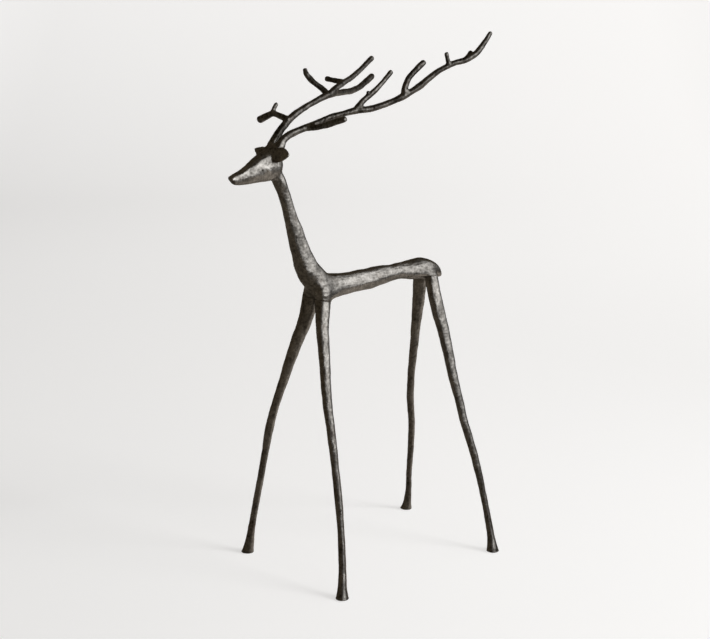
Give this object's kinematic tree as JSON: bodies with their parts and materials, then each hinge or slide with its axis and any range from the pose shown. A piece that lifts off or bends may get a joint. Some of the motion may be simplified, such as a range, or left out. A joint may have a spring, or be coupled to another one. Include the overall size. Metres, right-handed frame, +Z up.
{
  "type": "reindeer sculpture",
  "caption": "Slender standing deer figure of dark patinated cast metal, with long splayed legs, a raised neck and wide branching antlers, for display on a floor or table.",
  "frame": {"origin": "on the floor under the middle of the figure's bounding box", "axes": "+Z up, +X to the deer's left, -Y the way the deer looks"},
  "size_m": [0.344, 0.4972, 0.9303],
  "materials": {
    "cast_metal": "hand-worked cast surface with a dark bronze-brown patina, satin"
  },
  "bodies": {
    "root": {"body": "cast_metal", "front_left_leg": "cast_metal", "front_right_leg": "cast_metal", "hind_left_leg": "cast_metal", "hind_right_leg": "cast_metal", "left_antler": "cast_metal", "right_antler": "cast_metal"}
  },
  "joints": []
}
